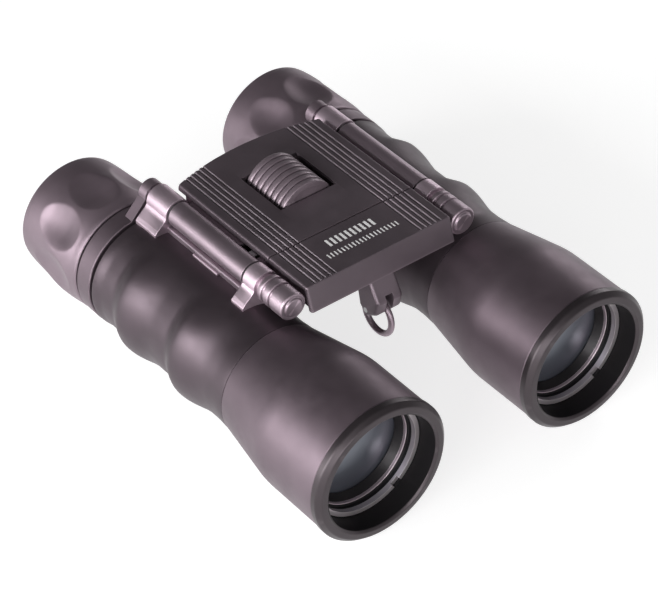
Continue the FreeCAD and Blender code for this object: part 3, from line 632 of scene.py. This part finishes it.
def cover_top(x):
    """Height of a cover across X, with its five grooves beside each edge."""
    if abs(x) > PLATE_HALF - PLATE_EDGE_R:
        return PLATE_TOP - edge_drop(x)
    for groove in GROOVES:
        away = abs(abs(x) - groove)
        if away < GROOVE_MOUTH:
            wall = (GROOVE_MOUTH - away) / (GROOVE_MOUTH - GROOVE_BED)
            return PLATE_TOP - GROOVE_DEPTH * min(1.0, wall)
    return PLATE_TOP


def cover_under(x):
    return PLATE_TOP - (PLATE_LIP if abs(x) > PLATE_HALF - 0.89 else PLATE_T)


# Groove walls, which carry the painted highlight.
def on_groove_wall(x, row):
    return row[2] and any(GROOVE_BED < abs(abs(x) - groove) < GROOVE_MOUTH for groove in GROOVES)


def rear_cover():
    """Main cover: grooves, wheel window and a bowed rear edge."""
    low, high = station(COVER_LOW.y), station(COVER_HIGH.y)
    radius = (PLATE_HALF ** 2 + REAR_BOW ** 2) / (2 * REAR_BOW)
    fixed = [(low, 0.4, False), (low + 0.12, 0.12, False), (low + 0.4, 0.0, True)]
    fixed += [(s, 0.0, True) for s in (68.0, WINDOW[0], 80.0, 84.5, 89.0, WINDOW[1], BOW_START)]
    ends = [(high - 0.4, 0.0, False), (high - 0.12, 0.12, False), (high, 0.4, False)]

    def reach(x, along):
        if along <= BOW_START:
            return along
        drawn = radius - math.sqrt(radius ** 2 - x ** 2)
        return along - drawn * (along - BOW_START) / (high - BOW_START)

    builder = bmesh.new()
    add_sheet(builder, cover_columns(), fixed + ends,
              lambda x, row: (reach(x, row[0]), cover_top(x) - row[1]),
              lambda x, row: (reach(x, row[0]), cover_under(x)),
              lambda x, along: abs(x) < WINDOW_HALF and WINDOW[0] < along < WINDOW[1], on_groove_wall)
    return finished("rear_cover", builder, [COVER, GROOVE_HIGHLIGHT], "bridge",
                    ["rear_top_cover"])


def front_cover():
    """Front cover: flat and grooved up to its crease, then down to the floor's edge."""
    high = SEAM - 0.1
    flat = [(high, 0.4, False), (high - 0.12, 0.12, False), (high - 0.4, 0.0, True),
            (56.0, 0.0, True), (50.0, 0.0, True), (PLATE_FRONT + 0.5, 0.0, True),
            (PLATE_FRONT + 0.12, 0.02, False), (PLATE_FRONT, 0.12, False)]
    drop = PLATE_TOP - APRON_LOW
    slope = [(PLATE_FRONT - (PLATE_FRONT - APRON_FOOT) * t, drop * t, False)
             for t in (0.06, 0.35, 0.65, 0.92, 0.99)]
    rows = flat + slope

    def outer(x, row):
        if row[0] >= PLATE_FRONT + 0.3:
            return row[0], cover_top(x) - row[1]
        edge = edge_drop(x)
        return row[0] + edge * min(1.0, row[1]), PLATE_TOP - row[1] - edge * max(0.0, 1 - row[1])

    def inner(x, row):
        if row[0] >= PLATE_FRONT + 1.5:
            return row[0], cover_under(x)
        return max(row[0] + 1.25, APRON_FOOT + 1.3), PLATE_TOP - max(PLATE_T, row[1])

    builder = bmesh.new()
    add_sheet(builder, cover_columns(), rows, outer, inner, lines=on_groove_wall)
    return finished("front_cover", builder, [COVER, GROOVE_HIGHLIGHT], "bridge",
                    ["front_top_cover"])


def plain_marks():
    """Two rows of plain upright ticks where such covers carry a pale print."""
    builder = bmesh.new()
    for first, last, count, width, near, far in MARK_ROWS:
        for i in range(count):
            x = first + (last - first) * i / (count - 1)
            verts = []
            for z in (PLATE_TOP - 0.04, PLATE_TOP + 0.012):
                for dx, along in ((-width, near), (width, near), (width, far), (-width, far)):
                    place = ((x + dx / 2) * MM, (FRONT + along) * MM, z * MM)
                    verts.append(builder.verts.new(place))
            for face in ((0, 1, 2, 3), (4, 5, 6, 7), (0, 1, 5, 4), (1, 2, 6, 5), (2, 3, 7, 6),
                         (3, 0, 4, 7)):
                builder.faces.new([verts[k] for k in face])
    return finished("plain_marks", builder, PRINT, "bridge")


def build_bridge():
    focus_wheel()
    rear_cover()
    front_cover()
    plain_marks()


# ---------------------------------------------------------------- studio
CAMERA_AZIMUTH = -37.65             # degrees, from straight in front towards the user's right
CAMERA_ELEVATION = 39.766
CAMERA_ROLL = -0.686
CAMERA_PLACE = Vector((-386.8, -504.7, 542.5)) * MM
LENS = 164.1
ROOM_LOW = 0.40                     # brightness of the room low in front
ROOM_HIGH = 0.085                    # and overhead or behind


def camera():
    """Long lens at the level and side that show both rims and the bridge's top."""
    azimuth, elevation = math.radians(CAMERA_AZIMUTH), math.radians(CAMERA_ELEVATION)
    back = Vector((math.sin(azimuth) * math.cos(elevation), -math.cos(azimuth) * math.cos(elevation),
                   math.sin(elevation)))
    right = (-back).cross(Vector((0, 0, 1))).normalized()
    up = right.cross(-back)
    level = Matrix((right, up, back)).transposed()
    turned = level @ Matrix.Rotation(math.radians(CAMERA_ROLL), 3, "Z")
    data = bpy.data.cameras.new("camera")
    data.lens = LENS
    data.clip_start = 0.05
    made = bpy.data.objects.new("camera", data)
    made.matrix_world = Matrix.Translation(CAMERA_PLACE) @ turned.to_4x4()
    bpy.context.scene.collection.objects.link(made)
    bpy.context.scene.camera = made


def softbox(name, place, size, watts):
    """Rectangular light that faces the middle of the object."""
    data = bpy.data.lights.new(name, "AREA")
    data.shape = "RECTANGLE"
    data.size, data.size_y = size
    data.energy = watts
    made = bpy.data.objects.new(name, data)
    made.location = place
    aim = Vector((0.0, 0.0, 0.02)) - Vector(place)
    made.rotation_euler = aim.to_track_quat("-Z", "Y").to_euler()
    bpy.context.scene.collection.objects.link(made)


def floor():
    """Plain pale floor with a barely visible grain."""
    builder = bmesh.new()
    half = 6.0
    corners = [builder.verts.new((x, y, 0.0)) for x, y in
               ((-half, -half), (half, -half), (half, half), (-half, half))]
    builder.faces.new(corners)
    mesh = bpy.data.meshes.new("studio_floor")
    builder.to_mesh(mesh)
    builder.free()
    surface = finish("pale_floor", (0.52, 0.52, 0.52), 0.0, 0.75, 60.0, 0.01, mottle=0.01, edge_highlight_amount=0.0)
    shader = surface.node_tree.nodes["Principled BSDF"]
    shader.inputs["Emission Color"].default_value = (1.0, 1.0, 1.0, 1.0)
    shader.inputs["Emission Strength"].default_value = 0.74
    mesh.materials.append(surface)
    made = bpy.data.objects.new("studio_floor", mesh)
    bpy.context.scene.collection.objects.link(made)


def world():
    """Dim room, dark overhead and behind the eyepieces, with a pale one seen by the camera."""
    made = bpy.data.worlds.new("studio")
    made.use_nodes = True
    tree = made.node_tree
    room = tree.nodes["Background"]
    place = tree.nodes.new("ShaderNodeTexCoord")
    parts = tree.nodes.new("ShaderNodeSeparateXYZ")
    tree.links.new(place.outputs["Generated"], parts.inputs["Vector"])
    behind = tree.nodes.new("ShaderNodeMath")
    behind.operation = "MULTIPLY_ADD"
    behind.inputs[1].default_value = 0.6
    tree.links.new(parts.outputs["Y"], behind.inputs[0])
    tree.links.new(parts.outputs["Z"], behind.inputs[2])
    height = ramp_of(tree, behind.outputs["Value"], ROOM_LOW, ROOM_HIGH, (0.0, 0.5))
    tree.links.new(height.outputs["Color"], room.inputs["Color"])
    room.inputs["Strength"].default_value = 1.0
    pale = node_of(tree, "ShaderNodeBackground", Color=(1.0, 1.0, 1.0, 1.0), Strength=0.97)
    path = tree.nodes.new("ShaderNodeLightPath")
    mixed = tree.nodes.new("ShaderNodeMixShader")
    tree.links.new(path.outputs["Is Camera Ray"], mixed.inputs["Fac"])
    tree.links.new(room.outputs["Background"], mixed.inputs[1])
    tree.links.new(pale.outputs["Background"], mixed.inputs[2])
    tree.links.new(mixed.outputs["Shader"], tree.nodes["World Output"].inputs["Surface"])
    bpy.context.scene.world = made


def studio():
    floor()
    world()
    softbox("key_left", (-0.95, -0.10, 0.36), (1.3, 0.40), 14.0)
    softbox("rear_left", (-0.96, 0.36, 0.12), (0.5, 0.20), 2.4)
    softbox("front_fill", (-0.45, -1.10, 0.30), (0.7, 0.25), 5.0)
    softbox("right_rim", (0.85, 0.30, 0.35), (0.5, 0.3), 2.0)
    camera()
    bpy.context.scene.view_settings.view_transform = "Standard"


dress_cad_nodes()
build_barrel("left", 1, "ocular_left", "ocular_left")
build_barrel("right", -1, "dioptre_grip", "dioptre_cell")
build_bridge()
studio()
